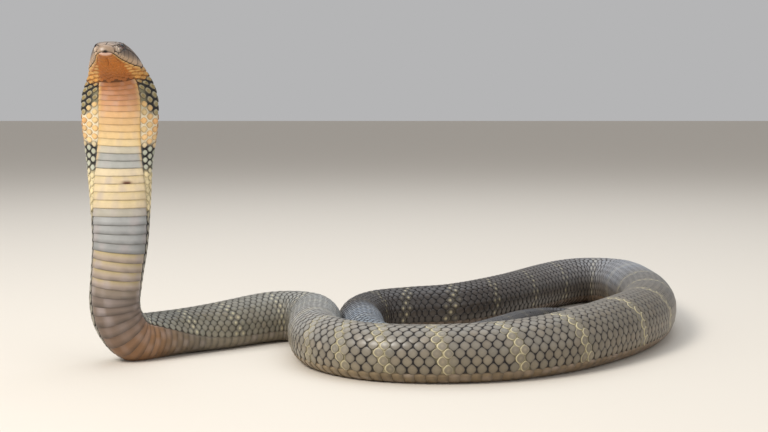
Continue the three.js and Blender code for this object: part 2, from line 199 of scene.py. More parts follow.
def hermite(t, start, start_slope, end, end_slope):
    """Smooth curve from start to end, for t from 0 to 1."""
    return ((2 * t**3 - 3 * t**2 + 1) * start + (t**3 - 2 * t**2 + t) * start_slope
            + (3 * t**2 - 2 * t**3) * end + (t**3 - t**2) * end_slope)


def girth(s):
    """Columns of the girth table at each s, on a smooth curve through its rows."""
    places = GIRTH[:, 0]
    count = len(places)
    before = np.maximum(np.arange(count) - 1, 0)
    after = np.minimum(np.arange(count) + 1, count - 1)
    slopes = (GIRTH[after] - GIRTH[before]) / (places[after] - places[before])[:, None]
    x = np.clip(s, places[0], places[-1])
    i = np.clip(np.searchsorted(places, x) - 1, 0, count - 2)
    span = (places[i + 1] - places[i])[..., None]
    t = (x - places[i])[..., None] / span
    values = hermite(t, GIRTH[i], span * slopes[i], GIRTH[i + 1], span * slopes[i + 1])
    return [values[..., c] for c in range(1, GIRTH.shape[1])]


def unit(v):
    """Vectors of length 1 in the same directions."""
    return v / np.maximum(np.linalg.norm(v, axis=-1, keepdims=True), 1e-9)


def measure_route():
    """Distances from the snout along the middle line, and the line's points."""
    typical_height = 25.0
    steps = 24
    points = np.array([(p[0], p[1], p[2] if len(p) > 2 else typical_height) for p in ROUTE])
    ends = np.vstack((2 * points[0] - points[1], points, 2 * points[-1] - points[-2]))
    line = []
    for i in range(1, len(ends) - 2):
        p0, p1, p2, p3 = ends[i - 1:i + 3]
        d0, d1, d2 = (math.sqrt(np.linalg.norm(q - p)) for p, q in ((p0, p1), (p1, p2), (p2, p3)))
        start = ((p1 - p0) / d0 - (p2 - p0) / (d0 + d1) + (p2 - p1) / d1) * d1
        end = ((p2 - p1) / d1 - (p3 - p1) / (d1 + d2) + (p3 - p2) / d2) * d1
        line += [hermite(t, p1, start, p2, end) for t in np.arange(steps) / steps]
    before_snout = 3
    line = np.array([points[0] - before_snout * unit(line[1] - line[0])] + line + [points[-1]])
    s = np.concatenate(((0,), np.cumsum(np.linalg.norm(np.diff(line, axis=0), axis=1)))) - before_snout
    landing = 40
    on_floor = smooth(s, FLOOR_FROM - landing, FLOOR_FROM)
    line[:, 2] += (BELLY_FLAT * girth(s)[2] - line[:, 2]) * on_floor
    return s, line


LINE_S, LINE = measure_route()
BODY_LENGTH = LINE_S[-1]


def middle_at(s):
    """Points of the middle line."""
    return np.stack([np.interp(s, LINE_S, LINE[:, c]) for c in range(3)], -1)


def frame_at(s):
    """Middle of each section, with its directions to the back and to the animal's right."""
    reach = 2.5
    tangent = unit(middle_at(s + reach) - middle_at(s - reach))
    reared = mix(BACK_OF_REARED, BACK_AT_FOOT, smooth(s, *TURN_SPAN))
    upright = np.maximum(smooth(s, *FOOT_SPAN), 1 - smooth(s, *HEAD_SPAN))
    guide = mix(reared, UP, upright)
    back = unit(guide - tangent * (guide * tangent).sum(-1, keepdims=True))
    return middle_at(s), back, np.cross(back, tangent)


def section(s, a):
    """Sideways and upwards place of the surface in its section."""
    width, height, depth, square_top, square_bottom = girth(s)
    cosine = np.cos(np.radians(a))
    sine = np.sin(np.radians(a))
    exponent = 2 / np.where(cosine >= 0, square_top, square_bottom)
    reach = np.where(cosine >= 0, height, depth)
    return (np.sign(sine) * np.abs(sine) ** exponent * width,
            np.sign(cosine) * np.abs(cosine) ** exponent * reach)


def surface(s, a, lift=0.0):
    """Points of the body in the frame, in metres, raised by lift along the section."""
    s = np.asarray(s, float)
    sideways, upwards = section(s, a)
    length = np.maximum(np.hypot(sideways, upwards), 1e-6)
    least = 0.05  # so that no hollow reaches past the middle line
    grow = np.maximum(1 + lift / length, least)[..., None]
    middle, back, side = frame_at(s)
    point = middle + (side * sideways[..., None] + back * upwards[..., None]) * grow - FOOTPRINT_MIDDLE
    point[..., 2] = np.maximum(point[..., 2], 0)
    return point * MM


# Places round a section, measured as lengths over the skin from the middle of the back

NOSE = -1.6
ARC_S = np.concatenate((np.arange(NOSE, 9, 0.2), np.arange(9, 80, 1.0), np.arange(80, BODY_LENGTH + 4, 4.0)))
ARC_SPLITS = 180


def measure_arcs():
    """Length of skin up to each angle, angle at each share of the half round, and the half round's length."""
    a = np.linspace(0, 180, ARC_SPLITS + 1)
    grid_s, grid_a = np.meshgrid(ARC_S, a, indexing="ij")
    x, y = section(grid_s, grid_a)
    steps = np.hypot(np.diff(x, axis=1), np.diff(y, axis=1))
    arc = np.concatenate((np.zeros((len(ARC_S), 1)), np.cumsum(steps, axis=1)), axis=1)
    whole = arc[:, -1]
    shares = np.linspace(0, 1, ARC_SPLITS + 1)
    angle = np.array([np.interp(shares, row / total, a) for row, total in zip(arc, whole)])
    return arc, angle, whole


ARC_OF_ANGLE, ANGLE_OF_SHARE, HALF_ROUND = measure_arcs()


def measure_meridian():
    """Length over the skin from the nose to each place of ARC_S."""
    width, height = girth(ARC_S)[:2]
    steps = np.hypot(np.diff(ARC_S), np.diff((width + height) / 2))
    return np.concatenate(((0,), np.cumsum(steps)))


MERIDIAN = measure_meridian()


def look_up(table, s, column):
    """Value of a table over ARC_S and a share of its columns."""
    i = np.clip(np.interp(s, ARC_S, np.arange(len(ARC_S))), 0, len(ARC_S) - 1.001)
    j = np.clip(np.asarray(column, float), 0, ARC_SPLITS - 0.001)
    i0, j0 = i.astype(int), j.astype(int)
    fi, fj = i - i0, j - j0
    low = table[i0, j0] * (1 - fj) + table[i0, j0 + 1] * fj
    high = table[i0 + 1, j0] * (1 - fj) + table[i0 + 1, j0 + 1] * fj
    return low * (1 - fi) + high * fi


def arc_at(s, a):
    return look_up(ARC_OF_ANGLE, s, np.asarray(a, float) / 180 * ARC_SPLITS)


def half_round(s):
    return np.interp(s, ARC_S, HALF_ROUND)


def angle_at(s, arc):
    """Signed angle of a signed length over the skin, which may pass the middle of the belly."""
    whole = half_round(s)
    side = np.sign(arc)
    reach = np.abs(arc)
    side = np.where(reach > whole, -side, side)
    reach = np.where(reach > whole, 2 * whole - reach, reach)
    return side * look_up(ANGLE_OF_SHARE, s, reach / whole * ARC_SPLITS)


def flatten(s, a, below=False):
    """Place on the unrolled head: length from the nose, and length from the middle of the back or belly."""
    arc = arc_at(s, np.abs(a))
    across = half_round(s) - arc if below else arc
    return np.stack((np.interp(s, ARC_S, MERIDIAN), np.sign(a) * across), -1)


def unflatten(place, below):
    """The s and a of a place on the unrolled head."""
    s = np.interp(place[..., 0], MERIDIAN, ARC_S)
    across = place[..., 1]
    arc = half_round(s) - np.abs(across) if below else np.abs(across)
    side = np.where(across < 0, -1.0, 1.0)
    return s, side * angle_at(s, np.maximum(arc, 0))


def belly_half_angle(s):
    """Half the angle that the belly scutes take up."""
    return 38 + 32 * smooth(s, 105, 230) - 8 * smooth(s, 470, 700)


def belly_edge(s):
    """Length over the skin from the middle of the back to the edge of the belly scutes."""
    return arc_at(s, 180 - belly_half_angle(s))


def back_pitch(s):
    """Length of one back scale along the body."""
    on_hood = np.maximum(curve_of(HOOD_PITCH, s), curve_of(PITCH, s))
    return np.where(np.asarray(s) < HOOD_END, on_hood, curve_of(PITCH, s))


PHASE_S = np.arange(0, BODY_LENGTH + 1, 1.0)
PHASE = np.concatenate(((0,), np.cumsum(1 / curve_of(PITCH, PHASE_S[:-1]))))
BACK_PHASE = np.concatenate(((0,), np.cumsum(1 / back_pitch(PHASE_S[:-1]))))


# Hollows and swellings of the head and of the folds behind the jaw

EYE = {"s": 20.0, "a": 50.0, "radius": 4.0, "sunk": 3.35, "opening": 3.5}
NOSTRIL = {"s": 5.2, "a": 71.0, "radius": 1.15}
MOUTH_CORNER = 48.0

# How far the line of the mouth hangs below the middle line, and the angle above which the head stays as it is
LIP_DROP = (
    (-1.6, 0), (-0.4, 0), (1, 1.3), (5, 2.8), (10, 3.8), (20, 4.6), (32, 5.0), (40, 4.4), (48, 2.6),
    (56, 1),
)
HANGS_FROM = 60.0


def lip_angle(s):
    """Angle of the line of the mouth."""
    depth, square = girth(s)[2], girth(s)[4]
    share = np.clip(curve_of(LIP_DROP, s) / depth, 0, 0.85)
    return 90 + np.degrees(np.arcsin(share ** (square / 2)))


def move_lip(a, lip_from, lip_to):
    """The angle a after the line of the mouth has moved, and the cheek and the jaw with it."""
    size = np.abs(a)
    cheek = HANGS_FROM + (size - HANGS_FROM) * (lip_to - HANGS_FROM) / (lip_from - HANGS_FROM)
    jaw = lip_to + (size - lip_from) * (180 - lip_to) / (180 - lip_from)
    return np.copysign(np.where(size < HANGS_FROM, size, np.where(size < lip_from, cheek, jaw)), a)


def hang(s, a):
    """Angle on the head of an angle of the layout, where the mouth lies at 90 all along."""
    return move_lip(a, 90.0, lip_angle(s))


def lay(s, a):
    """Angle of the layout of an angle on the head."""
    return move_lip(a, lip_angle(s), 90.0)


def distance_from(spot, s, a):
    """Length over the skin from the middle of an eye or a nostril."""
    here = flatten(s, a)
    there = flatten(spot["s"], spot["a"])
    return np.hypot(here[..., 0] - there[..., 0], np.abs(here[..., 1]) - there[..., 1])


def tongue_notch(s, a):
    """1 in the middle of the small arch under the snout that the tongue passes through."""
    beside, over = section(s, a)
    return bump(beside, 0, 2.1) * bump(over, 0.6, 1.9) * (1 - smooth(s, 0.5, 2.5))


def relief(s, a):
    """How far the head stands out from its plain form or sinks into it."""
    s, a = np.broadcast_arrays(np.asarray(s, float), np.abs(np.asarray(a, float)))
    near = s < RELIEF_END
    out = np.zeros(s.shape)
    if not near.any():
        return out
    s, a = s[near], a[near]
    from_eye = distance_from(EYE, s, a)
    from_nostril = distance_from(NOSTRIL, s, a)
    brow = 0.9 * bump(s, 20.3, 6.5) * bump(a, 39.5, 6)
    canthus = -1.8 * bump(s, 12.5, 5) * bump(a, 54, 9)
    behind_eye = -0.6 * bump(s, 31, 6) * bump(a, 55, 9)
    socket = -2.3 * (1 - smooth(from_eye, 2.6, 5.4))
    rim = 0.25 * bump(from_eye, 5.0, 1.0)
    pit = -1.5 * (1 - smooth(from_nostril, 0.5, 1.4)) + 0.35 * bump(from_nostril, 2.0, 0.7)
    jaw = 1.3 * bump(s, 46, 8) * bump(a, 104, 17)
    laid = lay(s, a)
    lip = 0.4 * bump(s, 24, 22) * (bump(laid, 80, 6) + 0.6 * bump(laid, 99, 6))
    crown = -0.35 * bump(s, 24, 9) * bump(a, 0, 16)
    groove = -0.8 * bump(a, 180, 7) * smooth(s, 4, 8) * (1 - smooth(s, 20, 27))
    fold = 1.1 * bump(s, 61, 9) * bump(a, 126, 17) * np.cos((a - 126) * 2 * math.pi / 15 + (s - 60) * 0.08)
    out[near] = brow + canthus + behind_eye + socket + rim + pit + jaw + lip + crown + groove + fold
    return out


# Meshes

def place_object(name, data):
    """A new object in the scene."""
    piece = bpy.data.objects.new(name, data)
    bpy.context.scene.collection.objects.link(piece)
    return piece


def make_mesh(name, points, faces, tone, uv, material, slot):
    """One piece from arrays: triangles, a tone for each point, and a map place for each point or corner."""
    mesh = bpy.data.meshes.new(name)
    mesh.vertices.add(len(points))
    mesh.vertices.foreach_set("co", np.asarray(points, np.float32).ravel())
    mesh.loops.add(faces.size)
    mesh.loops.foreach_set("vertex_index", faces.astype(np.int32).ravel())
    mesh.polygons.add(len(faces))
    mesh.polygons.foreach_set("loop_start", np.arange(0, faces.size, 3, dtype=np.int32))
    mesh.update(calc_edges=True)
    mesh.polygons.foreach_set("use_smooth", np.ones(len(faces), bool))
    colours = mesh.color_attributes.new("tone", "FLOAT_COLOR", "POINT")
    colours.data.foreach_set("color", np.column_stack((tone, np.ones(len(tone)))).astype(np.float32).ravel())
    layer = mesh.uv_layers.new(name="OFBake")
    corners = uv if len(uv) == faces.size else uv[faces.ravel()]
    layer.data.foreach_set("uv", corners.astype(np.float32).ravel())
    mesh.validate()
    mesh.materials.append(material)
    piece = place_object(name, mesh)
    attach(piece, "root")
    return piece


def skin_uv(s, a):
    """Place on the map: once round across it, and the whole body along it."""
    return np.stack((np.asarray(a) / 360 % 1, np.asarray(s) / BODY_LENGTH), -1)


# Materials

def node_material(name, roughness, grain, grain_depth, strength, coat=0.0, speckle=0.12):
    """Colour from the tone on the mesh, mottled by noise, with a fine bump and an uneven gloss."""
    material = bpy.data.materials.new(name)
    material.use_nodes = True
    nodes = material.node_tree.nodes
    link = material.node_tree.links.new
    shader = nodes["Principled BSDF"]
    shader.inputs["Coat Weight"].default_value = coat
    shader.inputs["Coat Roughness"].default_value = 0.25
    place = nodes.new("ShaderNodeTexCoord")
    tone = nodes.new("ShaderNodeAttribute")
    tone.attribute_name = "tone"

    def noise(scale, detail):
        node = nodes.new("ShaderNodeTexNoise")
        node.inputs["Scale"].default_value = scale
        node.inputs["Detail"].default_value = detail
        link(place.outputs["Object"], node.inputs["Vector"])
        return node.outputs["Fac"]

    def ranged(source, low, high):
        node = nodes.new("ShaderNodeMapRange")
        node.inputs["To Min"].default_value = low
        node.inputs["To Max"].default_value = high
        link(source, node.inputs["Value"])
        return node.outputs["Result"]

    colour = nodes.new("ShaderNodeVectorMath")
    colour.operation = "SCALE"
    link(tone.outputs["Color"], colour.inputs[0])
    link(ranged(noise(grain, 4), 1 - speckle, 1 + speckle), colour.inputs["Scale"])
    link(colour.outputs["Vector"], shader.inputs["Base Color"])
    link(ranged(noise(grain * 0.4, 3), roughness - 0.07, roughness + 0.09), shader.inputs["Roughness"])
    bumps = nodes.new("ShaderNodeBump")
    bumps.inputs["Strength"].default_value = strength
    bumps.inputs["Distance"].default_value = grain_depth
    link(noise(grain * 3, 3), bumps.inputs["Height"])
    link(bumps.outputs["Normal"], shader.inputs["Normal"])
    return material


MATERIALS = {
    "skin": node_material("skin between the scales", 0.6, 900, 0.0002, 0.5),
    "scale": node_material("back scales", 0.39, 420, 0.0001, 0.35, coat=0.12),
    "shield": node_material("head shields", 0.4, 300, 0.00008, 0.3, coat=0.15, speckle=0.14),
    "eye": node_material("eyes", 0.18, 200, 0.00002, 0.05, coat=0.35, speckle=0.1),
    "scute": node_material("belly scutes", 0.44, 260, 0.00012, 0.3, coat=0.1, speckle=0.09),
}

# Markings, and the painted light and shade among them

CREAM = srgb(236, 222, 176)
DARK_RIM = srgb(44, 37, 36)
PALE_RING = srgb(196, 190, 164)
HOOD_EDGE_SKIN = srgb(150, 144, 112)
HEAD_SEAM = srgb(52, 40, 31)
# The throat's seam skin is painted brighter than its own orange, to cancel the shade in the seams.
THROAT_SEAM = srgb(184, 110, 44)
THROAT_BACK = srgb(158, 90, 26)
THROAT_SIDE = srgb(226, 176, 98)
# Painted shade: near black in the slit between the lips, in the nostril's pit and in the tongue's notch.
OPENING_SHADE = srgb(38, 20, 14)

# Colour of the back scales along the body. It is their own colour, plus painted sky reflection: the pale
# blue-grey of the right-hand turn (1350 to 1680), of the tail's top (2040 to 2130), and the silver of the
# left bend (590 to 690).
BACK_COLOURS_AND_SHEEN = (
    (46, 126, 104, 74), (56, 150, 122, 80), (63, 132, 114, 66), (98, 134, 120, 76), (103, 206, 140, 76),
    (128, 202, 156, 100), (134, 156, 160, 138), (154, 160, 162, 142), (160, 214, 196, 150),
    (196, 208, 192, 150), (204, 128, 126, 110), (240, 88, 80, 64), (330, 102, 95, 76), (430, 120, 113, 96),
    (520, 134, 129, 116), (590, 154, 154, 150), (690, 150, 147, 141), (800, 125, 118, 107),
    (1000, 113, 105, 92), (1200, 101, 93, 81), (1350, 104, 100, 95), (1440, 136, 138, 143),
    (1560, 116, 113, 112), (1680, 88, 82, 77), (1800, 64, 56, 50), (1900, 52, 45, 40), (2000, 60, 54, 50),
    (2040, 124, 132, 142), (2130, 118, 126, 134), (2230, 62, 60, 60), (2680, 50, 48, 48),
)
FLANK_COLOURS = (
    (46, 206, 156, 88), (61, 216, 154, 74), (67, 134, 116, 66), (97, 150, 132, 88), (102, 222, 186, 128),
    (128, 226, 192, 140), (134, 176, 178, 158), (154, 178, 180, 162), (160, 226, 208, 162),
    (198, 222, 204, 160), (206, 140, 134, 118), (430, 130, 125, 110), (640, 138, 130, 114),
    (800, 120, 110, 92), (1200, 102, 91, 75), (1560, 88, 80, 71), (1900, 54, 46, 40), (2680, 56, 50, 46),
)
SKIN_COLOURS = (
    (56, 186, 124, 56), (61, 160, 104, 44), (65, 20, 17, 18), (98, 20, 17, 18), (102, 226, 212, 182),
    (127, 226, 212, 182), (131, 20, 17, 18), (155, 28, 24, 22), (160, 226, 210, 168), (196, 224, 208, 164),
    (200, 20, 17, 18), (232, 22, 18, 19), (340, 50, 45, 36), (450, 80, 76, 66), (680, 86, 83, 77),
    (790, 30, 25, 25), (1350, 30, 26, 26), (1560, 17, 14, 14), (2680, 17, 15, 16),
)
# Colour of the belly scutes along the body. From about 700 back, their own tan is darkened by painted shade,
# where the belly lies in the body's shadow.
BELLY_COLOURS_AND_SHADE = (
    (50, 158, 92, 34), (60, 166, 98, 40), (70, 180, 114, 60), (84, 202, 146, 96), (100, 216, 172, 120),
    (120, 224, 190, 136), (134, 232, 210, 162), (137, 172, 172, 166), (156, 166, 166, 160),
    (160, 228, 206, 162), (197, 224, 202, 152), (202, 160, 160, 158), (238, 156, 156, 154),
    (244, 174, 158, 128), (276, 160, 144, 124), (284, 126, 112, 102), (318, 118, 98, 84),
    (332, 140, 102, 69), (352, 146, 107, 70), (378, 126, 106, 84), (410, 124, 114, 98),
    (440, 140, 130, 112), (560, 150, 140, 120), (700, 146, 128, 98), (1000, 120, 100, 74),
    (1300, 112, 90, 66), (1560, 96, 78, 60), (2680, 84, 72, 60),
)

# How dark the edges of the back scales are, and how pale the edge and the middle of a scale in a band
RIM_DARKNESS = (
    (50, 0.1), (61, 0.15), (65, 0.8), (230, 0.8), (320, 0.5), (420, 0.35), (660, 0.4), (800, 0.6),
    (1560, 0.65), (2680, 0.7),
)
BAND_RIM = (
    (560, 0), (640, 0.2), (730, 0.6), (1100, 0.65), (1300, 0.55), (1450, 0.2), (1560, 0.05), (2680, 0.08),
)
BAND_SPOT = (
    (230, 0.5), (340, 1), (560, 1), (640, 0.6), (720, 0.15), (1300, 0.15), (1480, 0.4), (1580, 0.7),
    (1900, 0.7), (2000, 0.35), (2680, 0.4),
)


def band_nearness(s, down):
    """1 on a pale cross band. Its sides lie further back than its middle."""
    lag = 12.0
    place = s - lag * down
    numbers, places = zip(*BANDS)
    nearest = np.round(np.interp(place, places, numbers))
    off = np.abs(place - np.interp(nearest, numbers, places))
    return (1 - smooth(off, 2.8, 8.0)) * smooth(s, 225, 240)


def hood_place(s, down):
    """The pale patch of the hood starts nearer to the head beside the belly than at the hood's edge."""
    return s + 15 * smooth(down, 0.8, 1.0) * bump(s, 94, 12)


def skin_tone(s, a):
    """Colour of the skin between the scales."""
    reach = np.abs(a)
    down = np.clip(arc_at(s, reach) / belly_edge(s), 0, 1)
    tone = colour_curve(SKIN_COLOURS, hood_place(s, down))
    tone = mix(tone, HOOD_EDGE_SKIN, smooth(down, 0.86, 0.95) * between(s, 72, 96) * 0.7)
    edge = 180 - belly_half_angle(s)
    belly = smooth(reach, edge - 3, edge + 3)
    tone = mix(tone, colour_curve(BELLY_COLOURS_AND_SHADE, s) * 0.4, belly)
    tone = mix(tone, CREAM * 0.8, band_nearness(s, down) * curve_of(BAND_RIM, s) * (1 - belly))
    laid = lay(s, reach)
    head = mix(HEAD_SEAM, THROAT_SEAM, smooth(laid, 91, 104))
    # Painted shade in the slit between the lips, the nostril's pit and the tongue's notch.
    head = mix(head, OPENING_SHADE, bump(laid, 90, 4))
    pit = 1 - smooth(distance_from(NOSTRIL, np.clip(s, NOSE, 80), reach), 0.9, 1.5)
    head = mix(head, OPENING_SHADE, np.maximum(pit, smooth(tongue_notch(s, a), 0.3, 0.6)))
    return mix(head, tone, smooth(s, 50, 58))


# Skin

SKIN_SIDES = 144
SKIN_STEP = 6.0
NOSE_TUCK = 0.8  # how far the skin lies behind the shield on the tip of the snout
NOSE_RINGS = (-1.6, -1.55, -1.45, -1.3, -1.05, -0.7, -0.35, 0, 0.4, 0.8, 1.2, 1.7, 2.3)


def body_skin():
    """The one skin of the whole animal, with the finest rings on the head."""
    rings = (NOSE_RINGS, np.arange(3, 62, 0.8), np.arange(62, 90, 2), np.arange(90, BODY_LENGTH, SKIN_STEP))
    s = np.append(np.concatenate(rings), BODY_LENGTH - 0.01)
    a = np.arange(SKIN_SIDES) * 360 / SKIN_SIDES - 180
    grid_s, grid_a = np.meshgrid(s, a, indexing="ij")
    depth = HEAD_SKIN_DEPTH + (SKIN_DEPTH - HEAD_SKIN_DEPTH) * smooth(grid_s, 45, 70)
    depth = np.minimum(depth + mouth_line(grid_s, grid_a), 0.3 * girth(grid_s)[1])
    points = surface(grid_s, grid_a, relief(grid_s, grid_a) - depth)
    backwards = unit(middle_at(grid_s + 1) - middle_at(grid_s))
    tuck = NOSE_TUCK * (1 - smooth(grid_s, 0, 5))
    points = (points + backwards * tuck[..., None] * MM).reshape(-1, 3)
    faces = grid_faces(len(s), SKIN_SIDES, wrap=True)
    flat_s, flat_a = grid_s.ravel(), grid_a.ravel()
    corners = skin_uv(flat_s, flat_a + 180)[faces]
    crossing = corners[..., 0].max(1) - corners[..., 0].min(1) > 0.5
    corners[..., 0] += np.where(crossing[:, None] & (corners[..., 0] < 0.5), 1, 0)
    tone = skin_tone(flat_s, flat_a)
    uv = corners.reshape(-1, 2)
    return make_mesh("cobra_skin", points, faces, tone, uv, MATERIALS["skin"], "body_skin")


def mouth_line(s, a):
    """Depth of the slit between the lips."""
    upwards = section(s, a)[1] + curve_of(LIP_DROP, s)
    return 0.8 * bump(upwards, 0, 0.5) * (1 - smooth(s, MOUTH_CORNER - 2, MOUTH_CORNER + 3))


def grid_faces(rows, columns, wrap=False):
    """Triangles over a grid of points, row by row."""
    last = columns if wrap else columns - 1
    i, j = np.meshgrid(np.arange(rows - 1), np.arange(last), indexing="ij")
    i, j = i.ravel(), j.ravel()
    k = (j + 1) % columns
    p, q, r, t = i * columns + j, i * columns + k, (i + 1) * columns + j, (i + 1) * columns + k
    return np.concatenate((np.stack((p, q, r), -1), np.stack((q, t, r), -1)))


# Back scales

SCALE_POINTS = 16
SCALE_RINGS = (0.4, 0.72, 0.9, 1.0, 1.0)  # the last ring is the foot of the scale's edge
SCALE_SUNK = 0.3  # how deep the front edge lies
SCALE_TILT = 0.42  # how much higher the rear edge is
SCALE_DOME = 0.34  # how much higher the middle is
SCALE_FOOT = 1.1  # how far the foot lies under the edge
THROAT_FILL = (0.53, 1.06)  # share of the cell that a throat scale fills along and across
THROAT_FLATNESS = 0.2
THROAT_SUNK = 0.1
JITTER = 0.02  # uneven placing of the scales, as a share of their size


def scale_places(length_from, length_to):
    """Place, length, width, share down the side, luck and tint of every back scale of a length."""
    out = []
    rng = np.random.default_rng(SEED + int(length_from))
    starts = [row[0] for row in ROWS] + [BODY_LENGTH - 4]
    for (start, count), end in zip(ROWS, starts[1:]):
        low, high = max(start, length_from), min(end, length_to)
        if low >= high:
            continue
        half = count // 2
        widths = 1 + curve_of(LOW_ROW_GROWTH, (low + high) / 2) * (np.arange(half + 1) / half) ** 2.2
        edges = np.cumsum(widths) - widths[0] / 2
        centres = (edges - widths / 2) / edges[-1]
        for row in range(-half, half + 1):
            phase_low, phase_high = np.interp((low, high), PHASE_S, BACK_PHASE)
            shift = 0.5 * (abs(row) % 2)
            k = np.arange(math.ceil(phase_low - shift), math.ceil(phase_high - shift)) + shift
            s = np.interp(k, BACK_PHASE, PHASE_S)
            s = s[(s >= low) & (s < high)]
            edge = belly_edge(s)
            arc = np.sign(row) * centres[abs(row)] * edge
            width = widths[abs(row)] / edges[-1] * edge
            pitch = back_pitch(s)
            jitter = rng.normal(0, 1, (len(s), 4))
            moved_s = s + JITTER * pitch * jitter[:, 0]
            moved_arc = arc + JITTER * width * jitter[:, 1]
            down = np.full(len(s), abs(row) / half)
            out.append(np.column_stack((moved_s, moved_arc, pitch, width, down, jitter[:, 2:])))
    return np.concatenate(out)


HEAD_EDGE = (
    (0, 54.5), (25, 53.5), (45, 52.5), (70, 52), (88, 50.5), (110, 50), (116, 17), (142, 26), (180, 27),
)


def head_edge(a):
    """Where the head's shields end and the small scales begin."""
    return curve_of(HEAD_EDGE, np.abs(a))


# The six sides of a scale: direction in degrees (0 to the tail), and distance as a share of its row's width
SCALE_SIDES = ((0, 0.72), (53, 0.56), (127, 0.575), (180, 0.65), (-127, 0.575), (-53, 0.56))
CELL_LENGTH = 1.5  # length of a scale's cell for a row 1 wide
CORNER_SHARPNESS = 5


def scale_outline():
    """Points round a scale, for a cell 2 long and a row 1 wide: a hexagon with rounded corners."""
    t = np.arange(SCALE_POINTS) * 2 * math.pi / SCALE_POINTS
    inverse = np.zeros(SCALE_POINTS)
    for direction, distance in SCALE_SIDES:
        inverse += np.maximum(0, np.cos(t - math.radians(direction)) / distance) ** CORNER_SHARPNESS
    radius = inverse ** (-1 / CORNER_SHARPNESS)
    return radius * np.cos(t) / (CELL_LENGTH / 2), radius * np.sin(t)


def back_scales(name, length_from, length_to, slot):
    """The scales of one length of the back and sides, behind the shields of the head."""
    places = scale_places(length_from, length_to)
    laid = lay(places[:, 0], angle_at(places[:, 0], places[:, 1]))
    behind_head = places[:, 0] > head_edge(laid)
    make_scales(name, places[behind_head], slot)


def throat_tone(s, a, rho, luck):
    """Colour of every point of every throat scale."""
    tone = mix(head_colour(s, a), THROAT_BACK, smooth(s, 30, 54))
    tone = mix(tone, THROAT_SIDE, smooth(-np.abs(a), -150, -132) * smooth(s, 40, 54))
    tone = tone * (1 + 0.05 * luck)[:, None, None]
    # Painted light: the edges are made lighter to cancel the shade that falls in the seams between the
    # scales.
    return mix(tone, tone * 1.2, smooth(rho, 0.75, 1.0))


def make_scales(name, places, slot, flat=False):
    """A coat of small scales. The flat ones are those of the throat."""
    centre_s, centre_arc, pitch, width, down, luck, tint = places.T
    u, v = (np.append(0.0, np.outer(SCALE_RINGS, side)) for side in scale_outline())
    rho = np.append(0.0, np.repeat(SCALE_RINGS, SCALE_POINTS))
    foot = np.where(np.arange(len(rho)) < len(rho) - SCALE_POINTS, 0.0, 1.0)
    fill_along, fill_across = curve_of(FILL_ALONG, centre_s) / 2, curve_of(FILL_ACROSS, centre_s)
    if flat:
        fill_along, fill_across = THROAT_FILL
    half_length = pitch * fill_along
    half_width = width * fill_across
    s = centre_s[:, None] + u * half_length[:, None]
    arc = centre_arc[:, None] + v * half_width[:, None]
    if flat:
        arc = arc + half_round(s) - half_round(centre_s)[:, None]
    a = angle_at(s, arc)
    size = np.minimum(1, pitch / FULL_PITCH)[:, None]
    lift = (SCALE_TILT * (u + 1) / 2 + SCALE_DOME * (1 - rho**2) - SCALE_SUNK - SCALE_FOOT * foot) * size
    if flat:
        lift = lift * THROAT_FLATNESS - THROAT_SUNK
    points = surface(s, a, lift + relief(s, a)).reshape(-1, 3)
    first = np.arange(len(places))[:, None, None] * len(u)
    faces = (first + plate_faces()).reshape(-1, 3)
    if flat:
        tone = throat_tone(s, a, rho, luck)
    else:
        tone = scale_tone(u, rho, foot, centre_s[:, None], down[:, None], luck[:, None], tint[:, None])
    root = skin_uv(centre_s - half_length, angle_at(centre_s, centre_arc) + 180)
    uv = root[:, None, :] + np.stack((v, u), -1) * UV_PATCH
    return make_mesh(name, points, faces, tone.reshape(-1, 3), uv.reshape(-1, 2), MATERIALS["scale"], slot)


def plate_faces():
    """Triangles of one scale: a fan in the middle and rings of quads cut in two round it."""
    n = SCALE_POINTS
    j = np.arange(n)
    k = (j + 1) % n
    faces = [np.stack((np.zeros(n, int), 1 + j, 1 + k), -1)]
    for ring in range(len(SCALE_RINGS) - 1):
        p, q = 1 + ring * n, 1 + (ring + 1) * n
        faces.append(np.stack((p + j, q + j, q + k), -1))
        faces.append(np.stack((p + j, q + k, p + k), -1))
    return np.concatenate(faces)


